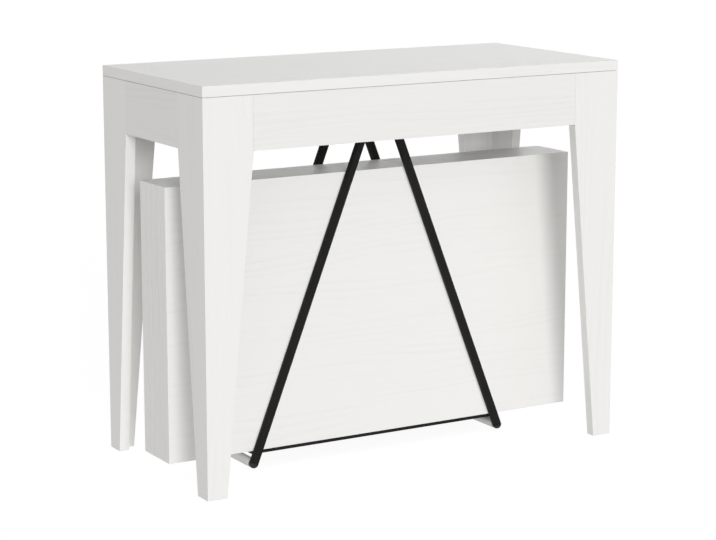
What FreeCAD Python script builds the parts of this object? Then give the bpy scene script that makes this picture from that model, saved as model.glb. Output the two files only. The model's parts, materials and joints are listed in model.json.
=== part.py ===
import FreeCAD
import Part
import Sketcher
import os
import re

# Extending console table, in millimetres.  +Z is up, the front faces -Y, and the origin is on the
# floor under the middle of the closed table.  A fixed rear frame carries the top.  The front frame
# pulls out on two sets of telescopic rails, and the middle stage of the rails carries a steel rack
# that stands on the floor and holds the extension leaves on edge.

LEAF_COUNT = 5
STAGE_COUNT = 10
RACK_STAGE = 5
QUARTER_TURN = 90

SIZES = {
    # the closed table
    "table_width": 900.0,
    "table_depth": 420.0,
    "table_height": 750.0,
    "board": 20.0,
    "top_arris": 0.8,
    "apron_height": 100.0,
    "leg_top_width": 100.0,
    "leg_foot_width": 40.0,
    "glide_height": 1.0,
    "front_gap": 0.5,
    # the telescopic rails: hollow extrusions that hang on each other by a T-tongue in a T-groove
    "rail_width": 14.0,
    "rail_height": 50.0,
    "rail_wall": 2.5,
    "rail_gap": 0.5,
    "rail_end_gap": 5.0,
    "rail_head_gap": 0.3,
    "tongue_neck": 8.0,
    "tongue_head": 16.0,
    "tongue_thickness": 3.0,
    "groove_lip": 2.5,
    "slide_fit": 0.3,
    "packer": 2.0,
    # the bars that tie the left and right rails of a stage
    "bar_height": 8.0,
    "bar_clearance": 2.0,
    "bar_end_margin": 21.0,
    "bar_width_share": 0.7,
    # the leaves on edge in the rack
    "leaf_gap": 1.25,
    "leaf_headroom": 114.7,
    # the rack
    "tube_diameter": 18.0,
    "tube_wall": 1.5,
    "rack_clearance": 0.5,
    "rack_foot_offset": 278.0,
    "rack_head_offset": 20.0,
    "spigot_length": 12.0,
    "weld_gap": 0.3,
    "tray_bottom": 24.5,
    "tray_depth": 6.5,
    "tray_sheet": 2.0,
    "tray_end_inset": 2.0,
    "head_plate": 4.0,
    "head_plate_margin": 4.0,
    # the steel angles that join the boards
    "angle_sheet": 3.0,
    "angle_lap": 40.0,
    "angle_margin": 4.0,
    "rail_angle_length": 60.0,
    "top_angle_width": 30.0,
    "top_angle_leg": 28.0,
    # one overrun for every cut
    "cut_overrun": 1.0,
}

# Shares of the size that each one follows.
GLIDE_RADIUS_SHARE = 0.35
GLIDE_PLACE_SHARE = 0.6
TOP_ANGLE_SHARES = (-0.4, 0.0, 0.4)

# Sizes that follow from the driving ones, as formulas of the sheet.
BARS_PER_SIDE = STAGE_COUNT - 1 - RACK_STAGE
DERIVED = {
    "half_width": "table_width / 2",
    "half_depth": "table_depth / 2",
    "top_underside": "table_height - board",
    "apron_bottom": "top_underside - apron_height",
    "front_top": "top_underside - front_gap",
    "inner_x": "half_width - board",
    "inner_y": "half_depth - board",
    "leg_shoulder": "apron_bottom - glide_height",
    "rail_top": "top_underside - rail_head_gap",
    "rail_bottom": "rail_top - rail_height",
    "rail_length": "2 * (inner_y - rail_end_gap)",
    "rail_pitch": "rail_width + rail_gap",
    "rail_outer_x": "inner_x - packer",
    "neck_slot": "tongue_neck + 2 * slide_fit",
    "head_slot": "tongue_head + 2 * slide_fit",
    "slot_depth": "groove_lip + tongue_thickness + 2 * slide_fit",
    "tongue_neck_length": "rail_gap + groove_lip + slide_fit",
    "bar_top": "rail_bottom - bar_clearance",
    "bar_bottom": "bar_top - bar_height",
    "plate_bottom": "bar_bottom - head_plate",
    "stack_depth": f"{LEAF_COUNT} * board + {LEAF_COUNT - 1} * leaf_gap",
    "tube_radius": "tube_diameter / 2",
    "rack_y": "stack_depth / 2 + rack_clearance + tube_radius",
    "rack_inside": "rack_y - tube_radius - weld_gap",
    "tube_rise": "plate_bottom - tube_radius",
    "tube_lean": "atan((rack_foot_offset - rack_head_offset) / tube_rise)",
    "tube_length": "tube_rise / cos(tube_lean) + tube_diameter * tan(tube_lean) + cut_overrun",
    "bar_step": f"(rail_length / 2 - bar_end_margin - rack_y) / {BARS_PER_SIDE}",
    "bar_width": "bar_step * bar_width_share",
    "tray_top": "tray_bottom + tray_depth",
    "leaf_width": "plate_bottom - leaf_headroom - tray_top",
    "angle_height": "rail_bottom - apron_bottom - 2 * angle_margin",
}

doc = FreeCAD.newDocument("ConsoleTable")
sub_parts = []


def make_sheet():
    """Fills the spreadsheet: driving sizes as plain numbers, then the sizes that follow from them."""
    sheet = doc.addObject("Spreadsheet::Sheet", "Sizes")
    row = 0
    for name, value in SIZES.items():
        row += 1
        sheet.set(f"A{row}", name)
        sheet.set(f"B{row}", str(value))
        sheet.setAlias(f"B{row}", name)
    doc.recompute()
    for name, formula in DERIVED.items():
        row += 1
        sheet.set(f"A{row}", name)
        sheet.set(f"B{row}", "=" + formula)
        sheet.setAlias(f"B{row}", name)
        doc.recompute()
    return sheet


def in_sheet(formula):
    """The formula with the name of every size pointing at its cell of the sheet."""
    def cell(match):
        word = match.group()
        return "Sizes." + word if word in SIZES or word in DERIVED else word
    return re.sub(r"[A-Za-z_]\w*", cell, formula)


def value_of(formula):
    """What the formula comes to, as a plain number."""
    return float(sheet.evalExpression(in_sheet(formula)))


def bind(item, prop, formula):
    item.setExpression(prop, in_sheet(formula))


def place(item, x="0", y="0", z="0"):
    for axis, formula in zip("xyz", (x, y, z)):
        bind(item, "Placement.Base." + axis, formula)


def keep(item, label):
    """Makes the object a sub-part of the table under its own name."""
    item.Label = label
    sub_parts.append(item)
    return item


def box(name, size, corner):
    """A plain board or plate from its three sizes and its lowest corner."""
    solid = doc.addObject("Part::Box", name)
    for prop, formula in zip(("Length", "Width", "Height"), size):
        bind(solid, prop, formula)
    place(solid, *corner)
    return solid


def cylinder(name, radius, height):
    solid = doc.addObject("Part::Cylinder", name)
    bind(solid, "Radius", radius)
    bind(solid, "Height", height)
    return solid


def combine(kind, name, base, tool):
    """A cut or a fuse of two solids."""
    result = doc.addObject("Part::" + kind, name)
    result.Base = base
    result.Tool = tool
    return result


def group(name, members):
    """Separate solids of one kind, kept together."""
    compound = doc.addObject("Part::Compound", name)
    compound.Links = members
    return compound


def left_and_right(name, right):
    """The right-hand solid and its mirror image on the left of the table."""
    left = doc.addObject("Part::Mirroring", name + "_left")
    left.Source = right
    left.Normal = FreeCAD.Vector(1, 0, 0)
    return group(name, [left, right])


def new_body(name):
    return doc.addObject("PartDesign::Body", name)


def sketch(body, role, *loops):
    """A sketch of straight-sided loops on a plane of the body; two formulas hold each corner."""
    profile = body.newObject("Sketcher::SketchObject", body.Name + "_outline")
    plane = next(item for item in body.Origin.OriginFeatures if item.Role == role)
    profile.AttachmentSupport = [(plane, "")]
    profile.MapMode = "FlatFace"
    for loop in loops:
        first = profile.GeometryCount
        corners = [FreeCAD.Vector(value_of(x), value_of(y), 0) for x, y in loop]
        sides = zip(corners, corners[1:] + corners[:1])
        profile.addGeometry([Part.LineSegment(start, end) for start, end in sides])
        for index, (formulas, corner) in enumerate(zip(loop, corners)):
            side = first + index
            following = first + (index + 1) % len(loop)
            profile.addConstraint(Sketcher.Constraint("Coincident", side, 2, following, 1))
            for axis, formula, where in zip("XY", formulas, corner):
                rule = Sketcher.Constraint("Distance" + axis, -1, 1, side, 1, where)
                number = profile.addConstraint(rule)
                bind(profile, f"Constraints[{number}]", formula)
    return profile


def pad(body, profile, length, side="One side", backwards=False):
    feature = body.newObject("PartDesign::Pad", body.Name + "_pad")
    feature.Profile = profile
    feature.SideType = side
    feature.Reversed = backwards
    bind(feature, "Length", length)
    return feature


def pocket(body, profile, length, side="One side", backwards=False):
    """A cut that has to take material away, or the build stops."""
    doc.recompute()
    before = body.Shape.Volume
    feature = body.newObject("PartDesign::Pocket", body.Name + "_pocket")
    feature.Profile = profile
    feature.SideType = side
    feature.Reversed = backwards
    bind(feature, "Length", length)
    doc.recompute()
    if not body.Shape.Volume < before:
        raise RuntimeError("a cut in " + body.Name + " took nothing away")
    return feature


def rectangle(half_x, half_y):
    """The corners of a rectangle about the origin."""
    return [(f"-({half_x})", f"-({half_y})"), (half_x, f"-({half_y})"),
            (half_x, half_y), (f"-({half_x})", half_y)]


def angle_outline(sx, sy, along_x, along_y):
    """The L of a steel angle in plan, with its heel at the origin and its flanges running inwards."""
    corners = [("0", "0"), (along_x, "0"), (along_x, "angle_sheet"),
               ("angle_sheet", "angle_sheet"), ("angle_sheet", along_y), ("0", along_y)]
    return [(f"{-sx} * ({x})", f"{-sy} * ({y})") for x, y in corners]


def make_top():
    """The top: one board whose lower arris is chamfered, which draws a shadow line under it."""
    top = new_body("table_top")
    slab = pad(top, sketch(top, "XY_Plane", rectangle("half_width", "half_depth")), "board")
    doc.recompute()
    under = next(index for index, face in enumerate(slab.Shape.Faces, 1)
                 if face.normalAt(0, 0).z < -0.5)
    arris = top.newObject("PartDesign::Chamfer", "top_arris")
    arris.Base = (slab, [f"Face{under}"])
    bind(arris, "Size", "top_arris")
    place(top, z="top_underside")
    keep(top, "table_top")


def make_leg_board(label, sx, sy, height, faces_side):
    """One of the two mitred boards of an L-shaped leg.

    The board's outer edge is plumb, and its inner edge is plumb beside the apron and tapers below
    it.  The body's origin is the outer corner of the leg.
    """
    board = new_body(label)
    inwards = -sy if faces_side else -sx
    across = [("0", "0"), ("leg_foot_width", "0"), ("leg_top_width", "leg_shoulder"),
              ("leg_top_width", height), ("0", height)]
    outline = [(f"{inwards} * {width}", up) for width, up in across]
    plane = "YZ_Plane" if faces_side else "XZ_Plane"
    backwards = sx > 0 if faces_side else sy < 0
    pad(board, sketch(board, plane, outline), "board", backwards=backwards)

    deep = "board + cut_overrun"
    if faces_side:
        waste = [("0", "0"), (deep, "0"), (deep, deep)]
    else:
        waste = [("0", "0"), ("0", deep), (deep, deep)]
    mitre = sketch(board, "XY_Plane", [(f"{-sx} * ({x})", f"{-sy} * ({y})") for x, y in waste])
    pocket(board, mitre, "2 * table_height", side="Symmetric")
    place(board, f"{sx} * half_width", f"{sy} * half_depth", "glide_height")
    keep(board, label)


def make_legs():
    for end, sy, height in (("front", -1, "front_top - glide_height"),
                            ("rear", 1, "top_underside - glide_height")):
        for side, sx in (("left", -1), ("right", 1)):
            make_leg_board(f"{end}_{side}_leg_face_board", sx, sy, height, False)
            make_leg_board(f"{end}_{side}_leg_side_board", sx, sy, height, True)


def make_glides():
    """Round glides under the feet, one for each board of each leg."""
    for end, sy in (("front", -1), ("rear", 1)):
        glides = []
        for side, sx in (("left", -1), ("right", 1)):
            along = f"{GLIDE_PLACE_SHARE} * leg_foot_width"
            for name, x, y in (("face", along, "board / 2"), ("side", "board / 2", along)):
                glide = cylinder(f"{end}_{side}_{name}_glide", f"{GLIDE_RADIUS_SHARE} * board",
                                 "glide_height")
                place(glide, f"{sx} * (half_width - {x})", f"{sy} * (half_depth - {y})")
                glides.append(glide)
        keep(group(f"{end}_glides_group", glides), f"{end}_glides")


def make_aprons():
    """The aprons close the frame between the legs; the side ones stay with the rear legs."""
    between_legs = "table_width - 2 * leg_top_width"
    left_end = "leg_top_width - half_width"
    front = box("front_apron_board", (between_legs, "board", "front_top - apron_bottom"),
                (left_end, "-half_depth", "apron_bottom"))
    keep(front, "front_apron")
    rear = box("rear_apron_board", (between_legs, "board", "apron_height"),
               (left_end, "inner_y", "apron_bottom"))
    keep(rear, "rear_apron")
    run = "table_depth - 2 * leg_top_width - front_gap"
    front_end = "leg_top_width - half_depth + front_gap"
    for side, x in (("left", "-half_width"), ("right", "inner_x")):
        apron = box(f"{side}_apron_board", ("board", run, "apron_height"), (x, front_end, "apron_bottom"))
        keep(apron, f"{side}_apron")
    packer = box("right_packer", ("packer", run, "rail_height"), ("rail_outer_x", front_end, "rail_bottom"))
    keep(left_and_right("rail_packers_pair", packer), "rail_packers")


def rail_outline(has_groove, has_tongue):
    """The section of a rail of the right-hand set: outer face at x = 0, inner face at -rail_width.

    The groove opens in the outer face, and the tongue stands on the inner one.
    """
    half_groove = [("0", "neck_slot / 2"), ("-groove_lip", "neck_slot / 2"),
                   ("-groove_lip", "head_slot / 2"), ("-slot_depth", "head_slot / 2")]
    neck_end = "-(rail_width + tongue_neck_length)"
    head_end = "-(rail_width + tongue_neck_length + tongue_thickness)"
    half_tongue = [("-rail_width", "tongue_neck / 2"), (neck_end, "tongue_neck / 2"),
                   (neck_end, "tongue_head / 2"), (head_end, "tongue_head / 2")]
    upper = [("0", "rail_height / 2")]
    if has_groove:
        upper = upper + half_groove
    inner = [("-rail_width", "rail_height / 2")]
    if has_tongue:
        inner = inner + half_tongue
    upper = inner[::-1] + upper
    lower = [(x, f"-({z})") for x, z in upper[::-1]]
    return upper + lower


def rail_chamber(sz):
    """One of the two hollow chambers of a rail, above or below its groove."""
    inner, outer = "rail_wall - rail_width", "-rail_wall"
    low, high = "head_slot / 2 + rail_wall", "rail_height / 2 - rail_wall"
    return [(inner, f"{sz} * ({low})"), (outer, f"{sz} * ({low})"),
            (outer, f"{sz} * ({high})"), (inner, f"{sz} * ({high})")]


def make_rails():
    """Eleven pairs of rails, from the fixed pair on the side aprons to the pair on the front apron."""
    for stage in range(STAGE_COUNT + 1):
        is_fixed = stage == 0
        is_front = stage == STAGE_COUNT
        label = "fixed_rails" if is_fixed else "front_rails" if is_front else f"stage_{stage:02d}_rails"
        rail = new_body(label + "_right")
        outline = rail_outline(not is_fixed, not is_front)
        section = sketch(rail, "XZ_Plane", outline, rail_chamber(1), rail_chamber(-1))
        pad(rail, section, "rail_length", side="Symmetric")
        place(rail, f"rail_outer_x - {stage} * rail_pitch", z="rail_top - rail_height / 2")
        keep(left_and_right(label + "_pair", rail), label)


def make_cross_bar(name, stage, y):
    """A flat bar under the rails, with a pad at each end that carries the rails of its own stage."""
    bar = new_body(name)
    outer = f"rail_outer_x - {stage} * rail_pitch"
    inner = f"{outer} - rail_width"
    full = "bar_height + bar_clearance"
    half = [(inner, "bar_height"), (inner, full), (outer, full), (outer, "0")]
    outline = half + [(f"-({x})", z) for x, z in half[::-1]]
    pad(bar, sketch(bar, "XZ_Plane", outline), "bar_width", side="Symmetric")
    place(bar, y=y, z="bar_bottom")
    return bar


def make_cross_bars():
    """One bar for each moving stage, and two for the stage that carries the rack.

    The bars lie in the order of the stages from back to front, so they only spread as it extends.
    """
    for stage in range(1, STAGE_COUNT):
        if stage == RACK_STAGE:
            pair = [make_cross_bar(f"rack_bar_{end}", stage, y)
                    for end, y in (("front", "-rack_y"), ("rear", "rack_y"))]
            keep(group("rack_bars", pair), f"stage_{stage:02d}_cross_bars")
        else:
            steps = RACK_STAGE - stage
            sign = 1 if steps > 0 else -1
            bar = make_cross_bar(f"bar_{stage}", stage, f"{sign} * rack_y + {steps} * bar_step")
            keep(bar, f"stage_{stage:02d}_cross_bar")


def make_leaves():
    """The extension leaves on edge, one behind the other, as wide as the table."""
    for index in range(LEAF_COUNT):
        y = f"{index} * (board + leaf_gap) - stack_depth / 2"
        leaf = box(f"leaf_board_{index + 1}", ("table_width", "board", "leaf_width"),
                   ("-half_width", y, "tray_top"))
        keep(leaf, f"leaf_{index + 1}")


def lean_inwards(item, sx, sy):
    """Stands the solid on the foot of a rack tube, leaning towards the middle of the table."""
    item.Placement = FreeCAD.Placement(FreeCAD.Vector(), FreeCAD.Rotation(FreeCAD.Vector(0, -sx, 0), 1))
    bind(item, "Placement.Rotation.Angle", "tube_lean")
    place(item, f"{sx} * rack_foot_offset", f"{sy} * rack_y", "tube_radius")


def make_rack_tube(name, sx, sy):
    """A round tube from the floor up to the head plate, where its end is cut level."""
    outside = cylinder(name + "_outside", "tube_radius", "tube_length")
    bore = cylinder(name + "_bore", "tube_radius - tube_wall", "tube_length")
    lean_inwards(outside, sx, sy)
    lean_inwards(bore, sx, sy)
    hollow = combine("Cut", name + "_hollow", outside, bore)
    waste = box(name + "_waste", ("4 * tube_diameter", "2 * tube_diameter", "2 * tube_diameter"),
                (f"{sx} * rack_head_offset - 2 * tube_diameter", f"{sy} * rack_y - tube_diameter",
                 "plate_bottom"))
    return combine("Cut", name + "_tube", hollow, waste)


def make_foot_cap(name, sx, sy):
    """The domed foot of a rack tube, with the spigot that plugs into the tube."""
    dome = doc.addObject("Part::Sphere", name + "_dome")
    bind(dome, "Radius", "tube_radius")
    dome.Angle2 = 0
    spigot = cylinder(name + "_spigot", "tube_radius - tube_wall - slide_fit", "spigot_length")
    lean_inwards(dome, sx, sy)
    lean_inwards(spigot, sx, sy)
    return combine("Fuse", name + "_cap", dome, spigot)


def make_bearer(side, sx):
    """A round bar on the floor that ties a foot of the front V to the one behind it."""
    bearer = cylinder(f"{side}_bearer", "tube_radius", "2 * rack_inside")
    along_y = FreeCAD.Rotation(FreeCAD.Vector(1, 0, 0), QUARTER_TURN)
    bearer.Placement = FreeCAD.Placement(FreeCAD.Vector(), along_y)
    place(bearer, f"{sx} * rack_foot_offset", "rack_inside", "tube_radius")
    keep(bearer, f"rack_{side}_bearer")


def make_tray():
    """The sheet-steel tray that the leaves stand on, folded down all round and welded to the tubes."""
    tray = new_body("tray_body")
    half_x = "rack_foot_offset - tray_end_inset"
    half_y = "rack_inside"
    pad(tray, sketch(tray, "XY_Plane", rectangle(half_x, half_y)), "tray_depth")
    hollow = sketch(tray, "XY_Plane", rectangle(f"{half_x} - tray_sheet", f"{half_y} - tray_sheet"))
    pocket(tray, hollow, "tray_depth - tray_sheet", backwards=True)
    place(tray, z="tray_bottom")
    keep(tray, "rack_tray")


def make_rack():
    """Two inverted V frames, before and behind the leaves, joined at their feet and their heads."""
    caps = []
    for end, sy in (("front", -1), ("rear", 1)):
        for side, sx in (("left", -1), ("right", 1)):
            name = f"rack_{end}_{side}"
            keep(make_rack_tube(name, sx, sy), name + "_tube")
            caps.append(make_foot_cap(name, sx, sy))
        reach = "rack_head_offset + tube_diameter"
        deep = "tube_radius + head_plate_margin"
        plate = box(f"rack_{end}_plate", (f"2 * ({reach})", f"2 * ({deep})", "head_plate"),
                    (f"-({reach})", f"{sy} * rack_y - ({deep})", "plate_bottom"))
        keep(plate, f"rack_{end}_head_plate")
    keep(group("rack_caps", caps), "rack_foot_caps")
    for side, sx in (("left", -1), ("right", 1)):
        make_bearer(side, sx)
    make_tray()


def make_angle(name, outline, height, x, y, z):
    """A steel angle: an L in plan, as high as given."""
    angle = new_body(name)
    pad(angle, sketch(angle, "XY_Plane", outline), height)
    place(angle, x, y, z)
    return angle


def make_angles():
    """The steel angles in the corners of both frames, behind the front apron and under the top."""
    bridging = "leg_top_width - board + angle_lap"
    short = "leg_top_width - board - angle_lap"
    for end, sy, along_y in (("front", -1, short), ("rear", 1, bridging)):
        corner = make_angle(f"{end}_corner_angle", angle_outline(1, sy, bridging, along_y), "angle_height",
                            "inner_x", f"{sy} * inner_y", "apron_bottom + angle_margin")
        keep(left_and_right(f"{end}_corner_pair", corner), f"{end}_corner_angles")

    rail_face = f"rail_outer_x - {STAGE_COUNT} * rail_pitch - rail_width"
    rail_angle = make_angle("front_rail_angle", angle_outline(1, -1, "angle_lap", "rail_angle_length"),
                            "rail_height - 2 * angle_margin",
                            rail_face, "-inner_y", "rail_bottom + angle_margin")
    keep(left_and_right("front_rail_pair", rail_angle), "front_rail_angles")

    top_angles = []
    leg, sheet_side = "-top_angle_leg", "-angle_sheet"
    outline = [("0", "0"), (leg, "0"), (leg, sheet_side),
               (sheet_side, sheet_side), (sheet_side, leg), ("0", leg)]
    for number, share in enumerate(TOP_ANGLE_SHARES, 1):
        angle = new_body(f"top_angle_{number}")
        pad(angle, sketch(angle, "YZ_Plane", outline), "top_angle_width", side="Symmetric")
        place(angle, f"{share} * half_width", "inner_y", "top_underside")
        top_angles.append(angle)
    keep(group("top_angles_group", top_angles), "top_angles")


def check_and_write():
    """Stops at any failed object or bad shape, then writes one file for each sub-part."""
    doc.recompute()
    for item in doc.Objects:
        if "Invalid" in item.State or "Error" in item.State:
            raise RuntimeError("failed: " + item.Label)
    for item in sub_parts:
        if item.Shape.isNull() or not item.Shape.isValid():
            raise RuntimeError("bad shape: " + item.Label)
    os.makedirs("parts", exist_ok=True)
    for item in sub_parts:
        item.Shape.exportStep(os.path.join("parts", item.Label + ".step"))
    print(len(sub_parts), "sub-parts,", sum(len(item.Shape.Solids) for item in sub_parts), "solids")


sheet = make_sheet()
make_top()
make_legs()
make_glides()
make_aprons()
make_rails()
make_cross_bars()
make_leaves()
make_rack()
make_angles()
check_and_write()
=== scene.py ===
import json
import math

import bmesh
import bpy
from mathutils import Matrix, Vector


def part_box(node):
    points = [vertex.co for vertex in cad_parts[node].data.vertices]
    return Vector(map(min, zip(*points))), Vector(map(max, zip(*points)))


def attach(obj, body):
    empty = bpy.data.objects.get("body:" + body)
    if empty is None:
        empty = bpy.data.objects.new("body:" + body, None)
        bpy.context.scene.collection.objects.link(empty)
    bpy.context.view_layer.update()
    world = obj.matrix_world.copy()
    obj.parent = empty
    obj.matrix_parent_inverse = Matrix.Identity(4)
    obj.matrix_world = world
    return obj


# Dresses the extending console table: finishes for every piece, fasteners, end caps and welds,
# then the floor, the light and the camera. Metres, +Z up, the front faces -Y.

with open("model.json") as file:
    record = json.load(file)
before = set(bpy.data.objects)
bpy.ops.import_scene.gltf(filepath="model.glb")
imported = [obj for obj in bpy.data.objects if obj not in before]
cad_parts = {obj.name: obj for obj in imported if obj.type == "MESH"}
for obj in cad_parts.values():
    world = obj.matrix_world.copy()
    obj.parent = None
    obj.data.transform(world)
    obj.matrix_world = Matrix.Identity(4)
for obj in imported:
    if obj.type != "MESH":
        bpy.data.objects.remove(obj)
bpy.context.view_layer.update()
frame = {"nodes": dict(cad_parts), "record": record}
cad = frame["nodes"]
scene = bpy.context.scene

MM = 0.001
WHITE = (1.0, 1.0, 1.0, 1.0)
LEAVES = [f"leaf_{number}" for number in range(1, 6)]
STAGES = [f"stage_{number:02d}" for number in range(1, 10)]
RACK_STAGE = "stage_05"
SIDES = (("left", -1), ("right", 1))
ENDS = (("front", -1), ("rear", 1))


# Materials

SHADE_STOPS = (0.3, 0.7)


class Shader:
    """A material that is built node by node around its Principled shader."""

    def __init__(self, name):
        self.material = bpy.data.materials.new(name)
        self.material.use_nodes = True
        self.nodes = self.material.node_tree.nodes
        self.links = self.material.node_tree.links
        self.surface = self.nodes["Principled BSDF"]

    def node(self, kind, inputs=(), **settings):
        made = self.nodes.new("ShaderNode" + kind)
        for key, value in settings.items():
            setattr(made, key, value)
        for key, value in dict(inputs).items():
            self.feed(made.inputs[key], value)
        return made

    def feed(self, socket, value):
        if isinstance(value, bpy.types.NodeSocket):
            self.links.new(value, socket)
        else:
            socket.default_value = value

    def set(self, **values):
        """Sets sockets of the Principled shader, with _ for a space in their names."""
        for key, value in values.items():
            self.feed(self.surface.inputs[key.replace("_", " ")], value)

    def math(self, operation, *values):
        return self.node("Math", enumerate(values), operation=operation).outputs[0]

    def between(self, share, low, high):
        """low where the share is 0 and high where it is 1."""
        span = self.math("SUBTRACT", high, low)
        return self.math("MULTIPLY_ADD", span, share, low)

    def step(self, value, start, end, low=0.0, high=1.0):
        """A smooth step from low to high as the value goes from start to end."""
        inputs = {"Value": value, "From Min": start, "From Max": end, "To Min": low, "To Max": high}
        return self.node("MapRange", inputs, interpolation_type="SMOOTHSTEP").outputs[0]

    def place(self):
        """The point's own coordinates on the piece, in metres."""
        where = self.node("TexCoord").outputs["Object"]
        split = self.node("SeparateXYZ", {0: where})
        return {axis: split.outputs[axis] for axis in "XYZ"}

    def facing(self):
        """How squarely the surface faces each axis, from 0 to 1."""
        normal = self.node("TexCoord").outputs["Normal"]
        split = self.node("SeparateXYZ", {0: normal})
        return {axis: self.math("ABSOLUTE", split.outputs[axis]) for axis in "XYZ"}

    def noise(self, x, y, z, detail):
        vector = self.node("CombineXYZ", {0: x, 1: y, 2: z}).outputs[0]
        inputs = {"Vector": vector, "Scale": 1.0, "Detail": detail}
        return self.node("TexNoise", inputs).outputs["Fac"]

    def scaled_noise(self, place, per_metre, detail, seed):
        """Noise with its own number of features per metre along each axis."""
        points = [self.math("MULTIPLY_ADD", place[axis], count, seed)
                  for axis, count in zip("XYZ", per_metre)]
        return self.noise(*points, detail)

    def even_noise(self, place, per_metre, detail, seed=0.0):
        """Noise with the same number of features per metre along every axis."""
        return self.scaled_noise(place, (per_metre,) * 3, detail, seed)

    def colours(self, share, *stops):
        """A blend of colours: each stop is a place from 0 to 1 and a colour."""
        ramp = self.node("ValToRGB", {0: share})
        elements = ramp.color_ramp.elements
        while len(elements) < len(stops):
            elements.new(1.0)
        for element, (at, colour) in zip(elements, stops):
            element.position = at
            element.color = (*colour, 1.0)
        return ramp.outputs[0]

    def shades(self, share, pair):
        """A blend of a darker and a lighter shade."""
        return self.colours(share, *zip(SHADE_STOPS, pair))

    def bump(self, height, distance, strength):
        inputs = {"Height": height, "Distance": distance, "Strength": strength}
        return self.node("Bump", inputs).outputs[0]


BOARD_WHITE = (0.845, 0.838, 0.820)
BOARD_GRAIN = (0.735, 0.725, 0.700)
# Painted shade: the colour and width of the dark line that stands for the shadow in a seam
SEAM_SHADOW_DARK = (0.040, 0.040, 0.036)
SEAM_SHADOW_WIDTH = 0.45 * MM
FACE_LIMIT = 0.75

# Streaks of the grain: how many per metre along it and across it, a shift that sets them apart, and detail
WARP_STREAKS = (1.3, 7.0, 0.0, 2.0)
FIGURE_STREAKS = (2.2, 26.0, 11.0, 1.0)
FIBRE_STREAKS = (5.0, 300.0, 23.0, 2.0)
PORE_STREAKS = (34.0, 1150.0, 37.0, 1.0)
CLOUD_STREAKS = (1.1, 5.0, 51.0, 1.0)

# Growth rings and pores: how many rings per metre, how far the grain bends them, and where both show
RING_COUNT = 62.0
RING_WARP = 6.4
RING_FADE_SHARE = 0.7
FIGURE_LIMITS = (0.35, 0.65)
PORE_LIMITS = (0.56, 0.70)
PORES_OFF_RING_SHARE = 0.3

# How much each part of the grain darkens the board, and how far it stands up or sinks in
RING_TONE = 0.16
PORE_TONE = 0.36
FIBRE_TONE = 0.30
CLOUD_TONE = 0.10
TONE_START = 0.20
GRAIN_STOP = 0.5
FIBRE_HEIGHT = 0.25
PORE_HEIGHT = -1.0
BOARD_ROUGHNESS = (0.44, 0.60)
BOARD_RELIEF = 0.12 * MM
BOARD_BUMP = 0.5


def paint_seam_shadows(shader, place, shadowed_seams):
    """Painted shade: dark lines where a board butts against others, standing in for the shadow in the seam:
    how dark, from 0 to 1.

    Each seam is an axis, the distance of its plane from the origin, and how dark the painted shadow line
    is.
    """
    lines = 0.0
    for axis, distance, depth in shadowed_seams:
        beside = shader.math("SUBTRACT", distance, shader.math("ABSOLUTE", place[axis]))
        line = shader.step(shader.math("ABSOLUTE", beside), SEAM_SHADOW_WIDTH / 2, SEAM_SHADOW_WIDTH, depth, 0.0)
        lines = shader.math("MAXIMUM", lines, line)
    return lines


def board_shader(name, axes, seed, shade, shadowed_seams):
    """White melamine board with a printed and embossed ash grain, and painted shadow lines along its seams.

    The grain follows the board's length on its faces and long edges, and the edge strip on its ends.
    The axes run along the grain, across it and through the board.
    """
    grain, across, thick = axes
    shader = Shader(name)
    place, facing = shader.place(), shader.facing()
    on_end = shader.math("GREATER_THAN", facing[grain], FACE_LIMIT)
    on_edge = shader.math("GREATER_THAN", facing[across], FACE_LIMIT)
    on_side = shader.math("MAXIMUM", on_end, on_edge)
    along = shader.between(on_end, place[grain], place[across])
    side = shader.between(on_side, place[across], place[thick])
    level = shader.math("ADD", on_side, seed)

    def streaks(along_count, side_count, shift, detail):
        x = shader.math("MULTIPLY", along, along_count)
        y = shader.math("MULTIPLY", side, side_count)
        return shader.noise(x, y, shader.math("ADD", level, shift), detail)

    bend = shader.math("MULTIPLY", streaks(*WARP_STREAKS), RING_WARP)
    turns = shader.math("MULTIPLY_ADD", side, RING_COUNT, bend)
    growth = shader.step(shader.math("FRACT", turns), 0.0, RING_FADE_SHARE, 1.0, 0.0)
    growth = shader.math("MULTIPLY", growth, shader.step(streaks(*FIGURE_STREAKS), *FIGURE_LIMITS))
    fibre = streaks(*FIBRE_STREAKS)
    dashes = shader.step(streaks(*PORE_STREAKS), *PORE_LIMITS)
    pores = shader.math("MULTIPLY", dashes, shader.between(growth, PORES_OFF_RING_SHARE, 1.0))
    cloud = streaks(*CLOUD_STREAKS)

    tone = shader.math("MULTIPLY_ADD", growth, RING_TONE, shader.math("MULTIPLY", pores, PORE_TONE))
    tone = shader.math("MULTIPLY_ADD", fibre, FIBRE_TONE, tone)
    tone = shader.math("MULTIPLY_ADD", cloud, CLOUD_TONE, shader.math("ADD", tone, shade - TONE_START))
    # Painted shade: dark lines along the seams, where the shadow in the gap falls
    tone = shader.math("MULTIPLY_ADD", tone, GRAIN_STOP, paint_seam_shadows(shader, place, shadowed_seams))
    height = shader.math("MULTIPLY_ADD", fibre, FIBRE_HEIGHT, shader.math("MULTIPLY", pores, PORE_HEIGHT))
    stops = ((0.0, BOARD_WHITE), (GRAIN_STOP, BOARD_GRAIN), (1.0, SEAM_SHADOW_DARK))
    shader.set(Base_Color=shader.colours(tone, *stops),
               Roughness=shader.between(pores, *BOARD_ROUGHNESS),
               Normal=shader.bump(height, BOARD_RELIEF, BOARD_BUMP))
    return shader.material


PEEL_COUNT = 900.0
PEEL_SPREAD = 0.06
PEEL_RELIEF = 0.10 * MM
PEEL_BUMP = 0.6
COAT_PATCH_COUNT = 14.0
COAT_PATCH_SEED = 5.0
COAT_PATCH_SHARE = 0.6


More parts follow.
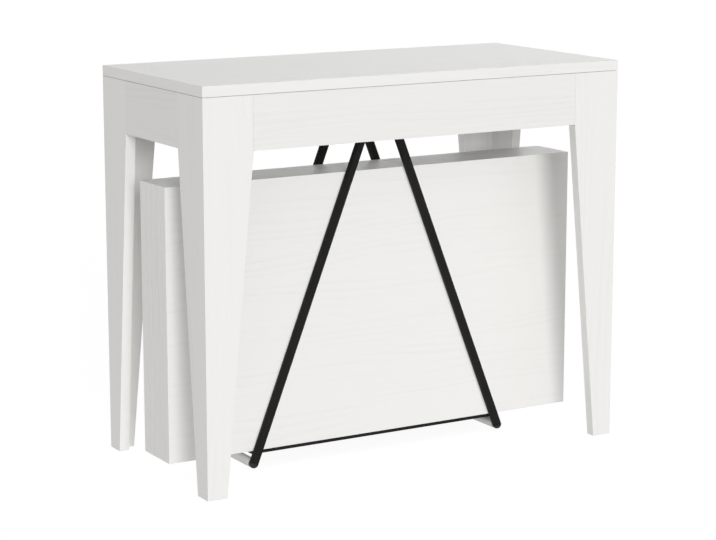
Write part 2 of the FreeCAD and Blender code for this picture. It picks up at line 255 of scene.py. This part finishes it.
def powder_shader(name, shades, roughness, gloss):
    """Powder coat: an even colour with a fine orange-peel surface."""
    shader = Shader(name)
    place = shader.place()
    peel = shader.even_noise(place, PEEL_COUNT, detail=2.0)
    patch = shader.even_noise(place, COAT_PATCH_COUNT, detail=2.0, seed=COAT_PATCH_SEED)
    fine = shader.math("MULTIPLY", peel, 1 - COAT_PATCH_SHARE)
    share = shader.math("MULTIPLY_ADD", patch, COAT_PATCH_SHARE, fine)
    shader.set(Base_Color=shader.shades(share, shades),
               Roughness=shader.between(peel, roughness - PEEL_SPREAD, roughness + PEEL_SPREAD),
               Specular_IOR_Level=gloss,
               Normal=shader.bump(peel, PEEL_RELIEF, PEEL_BUMP))
    return shader.material


# Lines of an extrusion: how many per metre along it and across it
FINE_DIE_LINES = (3.0, 2600.0)
BROAD_DIE_LINES = (1.5, 240.0)
BROAD_DIE_SEED = 9.0
BROAD_DIE_SHARE = 0.5
ALUMINIUM_SHADES = ((0.55, 0.56, 0.57), (0.68, 0.69, 0.70))
ALUMINIUM_ROUGHNESS = (0.30, 0.46)
DIE_RELIEF = 0.02 * MM
DIE_BUMP = 0.6


def extrusion_shader(name, axis):
    """Satin anodised aluminium with the fine lines that the die leaves along the axis."""
    shader = Shader(name)
    place = shader.place()

    def die_lines(counts, detail, seed):
        along, across = counts
        per_metre = [along if letter == axis else across for letter in "XYZ"]
        return shader.scaled_noise(place, per_metre, detail, seed)

    fine = die_lines(FINE_DIE_LINES, detail=2.0, seed=0.0)
    broad = die_lines(BROAD_DIE_LINES, detail=1.0, seed=BROAD_DIE_SEED)
    thin = shader.math("MULTIPLY", fine, 1 - BROAD_DIE_SHARE)
    lines = shader.math("MULTIPLY_ADD", broad, BROAD_DIE_SHARE, thin)
    shader.set(Base_Color=shader.shades(lines, ALUMINIUM_SHADES),
               Metallic=1.0,
               Roughness=shader.between(lines, *ALUMINIUM_ROUGHNESS),
               Normal=shader.bump(fine, DIE_RELIEF, DIE_BUMP))
    return shader.material


ZINC_CLOUD_COUNT = 120.0
ZINC_GRAIN_COUNT = 1800.0
ZINC_GRAIN_SEED = 4.0
ZINC_SHADES = ((0.56, 0.57, 0.58), (0.70, 0.71, 0.73))
ZINC_ROUGHNESS = (0.26, 0.44)
ZINC_RELIEF = 0.015 * MM
ZINC_BUMP = 0.5


def zinc_shader(name):
    """Bright zinc plate: a cool metal with soft cloudy patches."""
    shader = Shader(name)
    place = shader.place()
    cloud = shader.even_noise(place, ZINC_CLOUD_COUNT, detail=3.0)
    grain = shader.even_noise(place, ZINC_GRAIN_COUNT, detail=1.0, seed=ZINC_GRAIN_SEED)
    shader.set(Base_Color=shader.shades(cloud, ZINC_SHADES),
               Metallic=1.0,
               Roughness=shader.between(cloud, *ZINC_ROUGHNESS),
               Normal=shader.bump(grain, ZINC_RELIEF, ZINC_BUMP))
    return shader.material


MOULD_GRAIN_COUNT = 2200.0
MOULD_FLOW_COUNT = 60.0
MOULD_FLOW_SEED = 8.0
MOULD_SPREAD = 0.08
MOULD_RELIEF = 0.03 * MM
MOULD_BUMP = 0.6


def plastic_shader(name, shades, roughness):
    """Moulded plastic with a fine spark-eroded grain."""
    shader = Shader(name)
    place = shader.place()
    grain = shader.even_noise(place, MOULD_GRAIN_COUNT, detail=2.0)
    flow = shader.even_noise(place, MOULD_FLOW_COUNT, detail=2.0, seed=MOULD_FLOW_SEED)
    shader.set(Base_Color=shader.shades(flow, shades),
               Roughness=shader.between(grain, roughness - MOULD_SPREAD, roughness + MOULD_SPREAD),
               Normal=shader.bump(grain, MOULD_RELIEF, MOULD_BUMP))
    return shader.material


BLACK_COAT_SHADES = ((0.0085, 0.0083, 0.0078), (0.0135, 0.0131, 0.0123))
BLACK_COAT_ROUGHNESS = 0.55
BLACK_COAT_GLOSS = 0.18
GREY_COAT_SHADES = ((0.72, 0.72, 0.71), (0.78, 0.78, 0.77))
GREY_COAT_ROUGHNESS = 0.5
GREY_COAT_GLOSS = 0.5
BLACK_PLASTIC_SHADES = ((0.012, 0.012, 0.012), (0.020, 0.020, 0.020))
BLACK_PLASTIC_ROUGHNESS = 0.5
PALE_PLASTIC_SHADES = ((0.70, 0.70, 0.68), (0.78, 0.78, 0.76))
PALE_PLASTIC_ROUGHNESS = 0.45


def make_finishes():
    """The finish of each material slot but the boards', which have one for each board."""
    return {
        "black_steel": powder_shader("black_powder_coat", BLACK_COAT_SHADES,
                                     BLACK_COAT_ROUGHNESS, BLACK_COAT_GLOSS),
        "grey_steel": powder_shader("grey_powder_coat", GREY_COAT_SHADES,
                                    GREY_COAT_ROUGHNESS, GREY_COAT_GLOSS),
        "rail_aluminium": extrusion_shader("rail_aluminium_along", "Y"),
        "zinc_steel": zinc_shader("zinc_plate"),
        "black_plastic": plastic_shader("black_plastic", BLACK_PLASTIC_SHADES, BLACK_PLASTIC_ROUGHNESS),
        "pale_plastic": plastic_shader("pale_plastic", PALE_PLASTIC_SHADES, PALE_PLASTIC_ROUGHNESS),
    }


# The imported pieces

MERGE_DISTANCE = 0.001 * MM
ARRIS_ANGLE = math.radians(30)
ARRIS_SEGMENTS = 2
BOARD_ARRIS = 0.3 * MM
RAIL_ARRIS = 0.25 * MM
STEEL_ARRIS = 0.5 * MM


def finish(piece, material):
    piece.data.materials.clear()
    piece.data.materials.append(material)


def soften(node, width):
    """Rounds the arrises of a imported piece, which meet at split points in its mesh."""
    piece = cad[node]
    weld = piece.modifiers.new("weld", "WELD")
    weld.merge_threshold = MERGE_DISTANCE
    arris = piece.modifiers.new("arris", "BEVEL")
    arris.width = width
    arris.segments = ARRIS_SEGMENTS
    arris.limit_method = "ANGLE"
    arris.angle_limit = ARRIS_ANGLE
    arris.use_clamp_overlap = True
    piece.modifiers.new("normals", "WEIGHTED_NORMAL").keep_sharp = False


BASE_BOARDS = ["left_apron", "right_apron", "rear_apron"]
BASE_BOARDS += [f"rear_{side}_leg_{part}_board" for side, _ in SIDES for part in ("face", "side")]
BUTTED_APRONS = ["front_apron", "rear_apron"]
# How dark the painted seam shadows are: under the table top, and where the aprons butt against the legs
TOP_SEAM_SHADOW_DEPTH = 0.68
BUTT_SEAM_SHADOW_DEPTH = 0.46
APRON_SHADE = 0.2
SEED_STEP = 7.3


def dress_boards():
    """Gives every board its own grain: the direction along it, across it and through it."""
    boards = {"table_top": "XYZ", "front_apron": "XZY", "rear_apron": "XZY",
              "left_apron": "YZX", "right_apron": "YZX"}
    for end, _ in ENDS:
        for side, _ in SIDES:
            boards[f"{end}_{side}_leg_face_board"] = "ZXY"
            boards[f"{end}_{side}_leg_side_board"] = "ZYX"
    boards.update({leaf: "XZY" for leaf in LEAVES})
    apron_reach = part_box("front_apron")[1].x
    for number, (node, axes) in enumerate(boards.items()):
        _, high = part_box(node)
        # Painted shade: a dark line along the top edge of the base boards, and at the ends of the butted
        # aprons and leg face boards
        shadowed_seams = []
        if node in BASE_BOARDS:
            shadowed_seams.append(("Z", high.z, TOP_SEAM_SHADOW_DEPTH))
        if node.endswith("_face_board") or node in BUTTED_APRONS:
            shadowed_seams.append(("X", apron_reach, BUTT_SEAM_SHADOW_DEPTH))
        shade = APRON_SHADE if node.endswith("_apron") else 0.0
        finish(cad[node], board_shader("white_ash_" + node, axes, number * SEED_STEP, shade, shadowed_seams))
        soften(node, BOARD_ARRIS)


def dress_metal():
    """Finishes the rails, bars, rack, angles and small parts, and rounds what has sharp arrises.

    Scattered light passes the thin tubes, so that they leave no smear on the leaf behind them.
    """
    bar = extrusion_shader("rail_aluminium_across", "X")
    for row in frame["record"]["subparts"]:
        node, slot = row["node"], row["material_slot"]
        if slot in finishes:
            finish(cad[node], bar if "cross_bar" in node else finishes[slot])
        if slot == "rail_aluminium":
            soften(node, RAIL_ARRIS)
        if node.endswith(("_angles", "_bearer", "_plate", "_tray")):
            soften(node, STEEL_ARRIS)
        if node.endswith("_tube"):
            cad[node].visible_diffuse = False


# Added pieces

SMOOTH_ANGLE = math.radians(35)
BEAD_SMOOTH_ANGLE = math.radians(80)


def link(item):
    scene.collection.objects.link(item)
    return item


def loft(mesh, rings, endless=False):
    """Adds a closed solid through rings of points, with flat caps unless it runs back into itself."""
    loops = [[mesh.verts.new(point) for point in each] for each in rings]
    for lower, upper in zip(loops, loops[1:] + loops[:1] if endless else loops[1:]):
        for index in range(len(lower)):
            mesh.faces.new((lower[index - 1], lower[index], upper[index], upper[index - 1]))
    if not endless:
        mesh.faces.new(loops[0][::-1])
        mesh.faces.new(loops[-1])


def make_piece(name, mesh, body, slot, smooth_angle=SMOOTH_ANGLE):
    """Turns the mesh into a piece that rides on a body and has the finish of a material slot."""
    bmesh.ops.recalc_face_normals(mesh, faces=mesh.faces)
    data = bpy.data.meshes.new(name)
    mesh.to_mesh(data)
    mesh.free()
    data.shade_smooth()
    data.set_sharp_from_angle(angle=smooth_angle)
    piece = link(bpy.data.objects.new(name, data))
    finish(piece, finishes[slot])
    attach(piece, body)


def ring(turns, radius, height):
    """Points round an axis: the radius is a number, or a function of the angle."""
    reach = radius if callable(radius) else lambda turn: radius
    return [Vector((reach(turn) * math.cos(turn), reach(turn) * math.sin(turn), height)) for turn in turns]


def stand(rings, place, axis, spin):
    """Moves rings that stand on the origin to a place on the object, along an outward axis."""
    facing = Vector(axis).to_track_quat("Z", "Y").to_matrix().to_4x4()
    matrix = Matrix.Translation(place) @ facing @ Matrix.Rotation(spin, 4, "Z")
    return [[matrix @ point for point in each] for each in rings]


SCREW_RADIUS = 4.0 * MM
SCREW_HEIGHT = 2.2 * MM
SMALL_SCREW_SHARE = 0.62
SCREW_SINK = 0.2 * MM
SCREW_SPIN = 0.83
DOME_SHARES = ((1.0, 0.36), (0.95, 0.66), (0.83, 0.88), (0.70, 0.98))
CROSS_REACH = 0.58
CROSS_WIDTH = 0.13
CROSS_FLANKS = [math.radians(turn) for turn in (20, 31, 45, 59, 70)]
CROSS_FLOOR_SHARE = 0.8
CROSS_FLOOR_HEIGHT_SHARE = 0.35


def cross_reach(turn):
    """How far the cross recess of a screw reaches at an angle, as a share of the head's radius."""
    off_arm = abs((turn + math.pi / 4) % (math.pi / 2) - math.pi / 4)
    if math.tan(off_arm) * CROSS_REACH < CROSS_WIDTH:
        return CROSS_REACH / math.cos(off_arm)
    return CROSS_WIDTH / math.sin(off_arm)


def screw_head(mesh, place, axis, share=1.0):
    """A pan head with a cross recess, on a face that looks along the axis."""
    corner = math.atan2(CROSS_WIDTH, CROSS_REACH)
    quarter_turns = (-corner, 0, corner, *CROSS_FLANKS)
    turns = [quarter * math.pi / 2 + turn for quarter in range(4) for turn in quarter_turns]
    radius, height = SCREW_RADIUS * share, SCREW_HEIGHT * share
    rings = [ring(turns, radius, -SCREW_SINK)]
    rings += [ring(turns, radius * wide, height * high) for wide, high in DOME_SHARES]
    rings.append(ring(turns, lambda turn: radius * cross_reach(turn), height))
    floor = radius * CROSS_FLOOR_SHARE
    rings.append(ring(turns, lambda turn: floor * cross_reach(turn), height * CROSS_FLOOR_HEIGHT_SHARE))
    loft(mesh, stand(rings, place, axis, SCREW_SPIN * len(mesh.verts)))


BOLT_FLAT = 4.0 * MM
BOLT_HEIGHT = 4.0 * MM
BOLT_CHAMFER_SHARE = 0.12
BOLT_CROWN_SHARE = 0.97
BOLT_POINTS = 36
BOLT_SPIN = 0.4
WASHER_RADIUS = 6.4 * MM
WASHER_SHEET = 1.2 * MM
WASHER_RIM_SHARE = 0.8
WASHER_FACE_SHARE = 0.96


def bolt_head(mesh, place, axis):
    """A hexagon head with chamfered corners on a plain washer."""
    turns = [index * math.tau / BOLT_POINTS for index in range(BOLT_POINTS)]
    sixth = math.pi / 3

    def hexagon(turn):
        return BOLT_FLAT / math.cos((turn + sixth / 2) % sixth - sixth / 2)

    top = WASHER_SHEET + BOLT_HEIGHT
    rings = [ring(turns, WASHER_RADIUS, -SCREW_SINK),
             ring(turns, WASHER_RADIUS, WASHER_RIM_SHARE * WASHER_SHEET),
             ring(turns, WASHER_FACE_SHARE * WASHER_RADIUS, WASHER_SHEET),
             ring(turns, hexagon, WASHER_SHEET),
             ring(turns, hexagon, top - BOLT_CHAMFER_SHARE * BOLT_HEIGHT),
             ring(turns, BOLT_CROWN_SHARE * BOLT_FLAT, top)]
    loft(mesh, stand(rings, place, axis, BOLT_SPIN))


ANGLE_SHEET = 3.0 * MM
HEEL_STEPS = (25 * MM, 55 * MM, 100 * MM)
HEEL_MARGIN = 10 * MM
RAIL_ANGLE_SPREAD = 9.5 * MM
RAIL_ANGLE_STEPS = (20 * MM, 45 * MM)
TOP_ANGLE_STEP = 18 * MM
TOP_ANGLE_PLACES = (-180 * MM, 0, 180 * MM)


def corner_screws(mesh, end, sy):
    """Screws along both flanges of the angles in the corners of a frame."""
    low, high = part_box(f"{end}_corner_angles")
    heel_x, heel_y = high.x, max(sy * low.y, sy * high.y)
    middle = (low.z + high.z) / 2
    for _, sx in SIDES:
        for step in HEEL_STEPS:
            screw_head(mesh, (sx * (heel_x - step), sy * (heel_y - ANGLE_SHEET), middle), (0, -sy, 0))
            if step < high.y - low.y - HEEL_MARGIN:
                screw_head(mesh, (sx * (heel_x - ANGLE_SHEET), sy * (heel_y - step), middle), (-sx, 0, 0))


def rail_angle_screws(mesh):
    """Screws of the angles that hold the innermost rails to the front apron."""
    low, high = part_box("front_rail_angles")
    middle = (low.z + high.z) / 2
    for _, sx in SIDES:
        for spread in (-RAIL_ANGLE_SPREAD, RAIL_ANGLE_SPREAD):
            place = (sx * (high.x - HEEL_STEPS[0]), low.y + ANGLE_SHEET, middle + spread)
            screw_head(mesh, place, (0, 1, 0))
        for step in RAIL_ANGLE_STEPS:
            screw_head(mesh, (sx * (high.x - ANGLE_SHEET), low.y + step, middle), (-sx, 0, 0))


def top_angle_screws(mesh):
    """Screws of the angles between the rear apron and the top."""
    _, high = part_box("top_angles")
    for x in TOP_ANGLE_PLACES:
        screw_head(mesh, (x, high.y - ANGLE_SHEET, high.z - TOP_ANGLE_STEP), (0, -1, 0))
        screw_head(mesh, (x, high.y - TOP_ANGLE_STEP, high.z - ANGLE_SHEET), (0, 0, -1))


RAIL_WIDTH = 14.0 * MM
PLATE_SCREW_INSET = 3.6 * MM


def bar_screws(mesh, bars, y):
    """A screw under each end of a cross-bar, into the rail above it."""
    low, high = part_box(bars)
    for _, sx in SIDES:
        screw_head(mesh, (sx * (high.x - RAIL_WIDTH / 2), y, low.z), (0, 0, -1))


def plate_fasteners(mesh, end):
    """The bolt and the two small screws of a head plate, and the screws of the cross-bar above it."""
    low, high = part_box(f"rack_{end}_head_plate")
    y = (low.y + high.y) / 2
    bar_screws(mesh, f"{RACK_STAGE}_cross_bars", y)
    bolt_head(mesh, (0, y, low.z), (0, 0, -1))
    for _, sx in SIDES:
        place = (sx * (high.x - PLATE_SCREW_INSET), y, low.z)
        screw_head(mesh, place, (0, 0, -1), SMALL_SCREW_SHARE)


def make_fasteners():
    """The heads of all screws and bolts, in one piece for each body that has any."""
    base, front = bmesh.new(), bmesh.new()
    corner_screws(base, "rear", 1)
    top_angle_screws(base)
    make_piece("base_screws", base, "base", "zinc_steel")
    corner_screws(front, "front", -1)
    rail_angle_screws(front)
    make_piece("front_frame_screws", front, "front_frame", "zinc_steel")
    for stage in STAGES:
        mesh = bmesh.new()
        if stage == RACK_STAGE:
            for end, _ in ENDS:
                plate_fasteners(mesh, end)
        else:
            low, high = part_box(f"{stage}_cross_bar")
            bar_screws(mesh, f"{stage}_cross_bar", (low.y + high.y) / 2)
        make_piece(f"{stage}_screws", mesh, stage, "zinc_steel")


NECK_SLOT = 8.6 * MM
HEAD_SLOT = 16.6 * MM
GROOVE_LIP = 2.5 * MM
GROOVE_DEPTH = 6.1 * MM
CAP_SHEET = 1.5 * MM
CAP_CHAMFER = 0.4 * MM


def cap_outline(half_height, has_groove, inset):
    """The section of a rail without its tongue, drawn in by the inset; the outer face is at x = 0."""
    upper = [(inset - RAIL_WIDTH, half_height - inset), (-inset, half_height - inset)]
    if has_groove:
        neck, head = NECK_SLOT / 2 + inset, HEAD_SLOT / 2 + inset
        lip, depth = inset - GROOVE_LIP, -GROOVE_DEPTH - inset
        upper += [(-inset, neck), (lip, neck), (lip, head), (depth, head)]
    return upper + [(x, -z) for x, z in upper[::-1]]


def make_rail_caps():
    """Plastic caps on both ends of every rail, open where the next rail's tongue runs in the groove."""
    rails = {"base": "fixed_rails", "front_frame": "front_rails"}
    rails.update({stage: f"{stage}_rails" for stage in STAGES})
    for body, node in rails.items():
        low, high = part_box(node)
        half_height, middle = (high.z - low.z) / 2, (high.z + low.z) / 2
        mesh = bmesh.new()
        for _, sx in SIDES:
            for _, sy in ENDS:
                rings = []
                for out, inset in ((0, 0), (CAP_SHEET - CAP_CHAMFER, 0), (CAP_SHEET, CAP_CHAMFER)):
                    outline = cap_outline(half_height, body != "base", inset)
                    rings.append([(sx * (high.x + x), sy * (high.y + out), middle + z) for x, z in outline])
                loft(mesh, rings)
        make_piece(f"{body}_rail_caps", mesh, body, "black_plastic")


BEAD_SIDES = 8
BEAD_TURNS = [side * math.tau / BEAD_SIDES for side in range(BEAD_SIDES)]
BEAD_END_SHARE = 0.5
RIPPLE_POINTS = 4
RIPPLE_SHARE = 0.14
HEAD_WELD_RADIUS = 1.3 * MM
HEAD_WELD_POINTS = 96
SEAM_WELD_RADIUS = 0.9 * MM
SEAM_WELD_POINTS = 32
SEAM_OFFSET = 3.4 * MM
SEAM_MARGIN = 1.0 * MM
TUBE_HEAD_REACH = 20.0 * MM


def weld_bead(mesh, path, radius, endless=False):
    """A rippled bead along a path of points, thinner at its ends if it has any."""
    rings = []
    last = len(path) - 1
    for index, point in enumerate(path):
        behind = path[index - 1] if endless or index else point
        ahead = path[(index + 1) % len(path)] if endless or index < last else point
        swell = 1 + RIPPLE_SHARE * math.sin(index * math.tau / RIPPLE_POINTS)
        if index in (0, last) and not endless:
            swell = BEAD_END_SHARE
        rings += stand([ring(BEAD_TURNS, radius * swell, 0)], point, ahead - behind, 0)
    loft(mesh, rings, endless)


def make_welds():
    """Beads round the heads of the rack's tubes, and along their seams with the tray and the low bars."""
    bar_low, bar_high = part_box("rack_right_bearer")
    tray_low, tray_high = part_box("rack_tray")
    plate_low, plate_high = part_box("rack_rear_head_plate")
    radius = (bar_high.x - bar_low.x) / 2
    foot = Vector(((bar_low.x + bar_high.x) / 2, (plate_low.y + plate_high.y) / 2, radius))
    head = Vector((TUBE_HEAD_REACH, foot.y, plate_low.z))
    lean = (head - foot) / (head.z - foot.z)
    stretch = lean.length

    def head_path():
        turns = [index * math.tau / HEAD_WELD_POINTS for index in range(HEAD_WELD_POINTS)]
        return [head + Vector((radius * stretch * math.cos(turn), radius * math.sin(turn), 0))
                for turn in turns]

    def seam_path(low, high, offset):
        gap_side = foot.y - math.sqrt(radius ** 2 - offset ** 2)
        middle = (gap_side + bar_high.y) / 2
        path = []
        for index in range(SEAM_WELD_POINTS):
            z = low + (high - low) * index / (SEAM_WELD_POINTS - 1)
            path.append(Vector((foot.x + lean.x * (z - foot.z) + offset, middle, z)))
        return path

    paths = []
    for offset in (-SEAM_OFFSET, SEAM_OFFSET):
        paths.append(seam_path(bar_low.z + radius / 2, bar_high.z - SEAM_MARGIN, offset))
        paths.append(seam_path(tray_low.z + SEAM_MARGIN, tray_high.z - SEAM_MARGIN, offset))
    mesh = bmesh.new()
    for _, sx in SIDES:
        for _, sy in ENDS:
            mirror = Matrix.Diagonal((sx, sy, 1))
            weld_bead(mesh, [mirror @ point for point in head_path()], HEAD_WELD_RADIUS, True)
            for path in paths:
                weld_bead(mesh, [mirror @ point for point in path], SEAM_WELD_RADIUS)
    make_piece("rack_welds", mesh, RACK_STAGE, "black_steel", BEAD_SMOOTH_ANGLE)


# Studio

FLOOR_HALF = 40.0
FLOOR_SHADE = 0.15
FLOOR_GLOW = 0.92
GLOW_TURN = math.radians(40)
GLOW_RISE = math.radians(20)
GLOW_AXIS = (math.sin(GLOW_TURN) * math.cos(GLOW_RISE),
             math.cos(GLOW_TURN) * math.cos(GLOW_RISE),
             math.sin(GLOW_RISE))

# Lobes of the sky: the axis, the power of the cosine off it, and the weight
BROAD = 2
NARROW = 12
SKY_LOBES = (
    ((-1, 0, 0), BROAD, 0.71),
    ((1, 0, 0), BROAD, 0.25),
    ((0, -1, 0), BROAD, 0.81),
    ((0, 1, 0), BROAD, 0.52),
    ((0, 0, -1), BROAD, 0.45),
    ((0, 0, 1), BROAD, 0.20),
    (GLOW_AXIS, NARROW, 2.00),
)

DIFFUSE_BOUNCES = 12
KEY_STRENGTH = 1.46
KEY_WIDTH = math.radians(20)
KEY_TURN = math.radians(14)
KEY_RISE = math.radians(13)
CAMERA_PLACE = (-2.1302, -3.5751, 1.1729)
CAMERA_YAW = math.radians(30.651)
CAMERA_PITCH = math.radians(11.259)
CAMERA_LENS = 109.22
SENSOR_WIDTH = 36.0


def make_floor():
    """A plain pale floor, bright enough to read as white, with a faint shadow under the table.

    The sky already holds the light that comes up from it, so the object doesn't see it again.
    """
    mesh = bpy.data.meshes.new("floor")
    corners = [(x * FLOOR_HALF, y * FLOOR_HALF, 0) for x, y in ((-1, -1), (1, -1), (1, 1), (-1, 1))]
    mesh.from_pydata(corners, [], [(0, 1, 2, 3)])
    floor = link(bpy.data.objects.new("floor", mesh))
    floor.visible_diffuse = False
    floor.visible_glossy = False
    floor.visible_shadow = False
    material = bpy.data.materials.new("floor")
    material.use_nodes = True
    surface = material.node_tree.nodes["Principled BSDF"].inputs
    surface["Base Color"].default_value = (FLOOR_SHADE, FLOOR_SHADE, FLOOR_SHADE, 1)
    surface["Roughness"].default_value = 1.0
    surface["Specular IOR Level"].default_value = 0.0
    surface["Emission Color"].default_value = WHITE
    surface["Emission Strength"].default_value = FLOOR_GLOW
    mesh.materials.append(material)


def make_sky():
    """Soft light from all round, with a plain white backdrop.

    It is a sum of lobes, each with its axis, how narrow it is and its weight: a broad one along each axis
    and a raised glow behind the object, on the right.
    """
    world = bpy.data.worlds.new("studio")
    scene.world = world
    world.use_nodes = True
    nodes, links = world.node_tree.nodes, world.node_tree.links

    def math_node(operation, *values):
        made = nodes.new("ShaderNodeMath")
        made.operation = operation
        for socket, value in zip(made.inputs, values):
            if isinstance(value, bpy.types.NodeSocket):
                links.new(value, socket)
            else:
                socket.default_value = value
        return made.outputs[0]

    direction = nodes.new("ShaderNodeTexCoord").outputs["Generated"]
    strength = 0.0
    for axis, power, weight in SKY_LOBES:
        along = nodes.new("ShaderNodeVectorMath")
        along.operation = "DOT_PRODUCT"
        links.new(direction, along.inputs[0])
        along.inputs[1].default_value = axis
        ahead = math_node("MAXIMUM", along.outputs["Value"], 0.0)
        lobe = math_node("POWER", ahead, power)
        strength = math_node("MULTIPLY_ADD", lobe, weight, strength)
    light = nodes["Background"]
    links.new(strength, light.inputs["Strength"])
    light.inputs["Color"].default_value = WHITE
    backdrop = nodes.new("ShaderNodeBackground")
    backdrop.inputs["Color"].default_value = WHITE
    seen = nodes.new("ShaderNodeLightPath").outputs["Is Camera Ray"]
    mix = nodes.new("ShaderNodeMixShader")
    links.new(seen, mix.inputs[0])
    links.new(light.outputs[0], mix.inputs[1])
    links.new(backdrop.outputs[0], mix.inputs[2])
    links.new(mix.outputs[0], nodes["World Output"].inputs["Surface"])
    scene.cycles.diffuse_bounces = DIFFUSE_BOUNCES
    scene.cycles.max_bounces = DIFFUSE_BOUNCES


def make_key():
    """A broad key light, low and a little to the left of straight ahead, that stays out of reflections."""
    data = bpy.data.lights.new("key", "SUN")
    data.energy = KEY_STRENGTH
    data.angle = KEY_WIDTH
    key = link(bpy.data.objects.new("key", data))
    key.rotation_euler = (math.pi / 2 - KEY_RISE, 0, -KEY_TURN)
    key.visible_glossy = False


def make_camera():
    """Looks at the table from the photo's side, with a lens that isn't shifted."""
    data = bpy.data.cameras.new("camera")
    data.lens = CAMERA_LENS
    data.sensor_width = SENSOR_WIDTH
    camera = link(bpy.data.objects.new("camera", data))
    camera.location = CAMERA_PLACE
    camera.rotation_euler = (math.pi / 2 - CAMERA_PITCH, 0, -CAMERA_YAW)
    scene.camera = camera


finishes = make_finishes()
dress_boards()
dress_metal()
make_fasteners()
make_rail_caps()
make_welds()
make_floor()
make_sky()
make_key()
make_camera()
scene.view_settings.view_transform = "Standard"
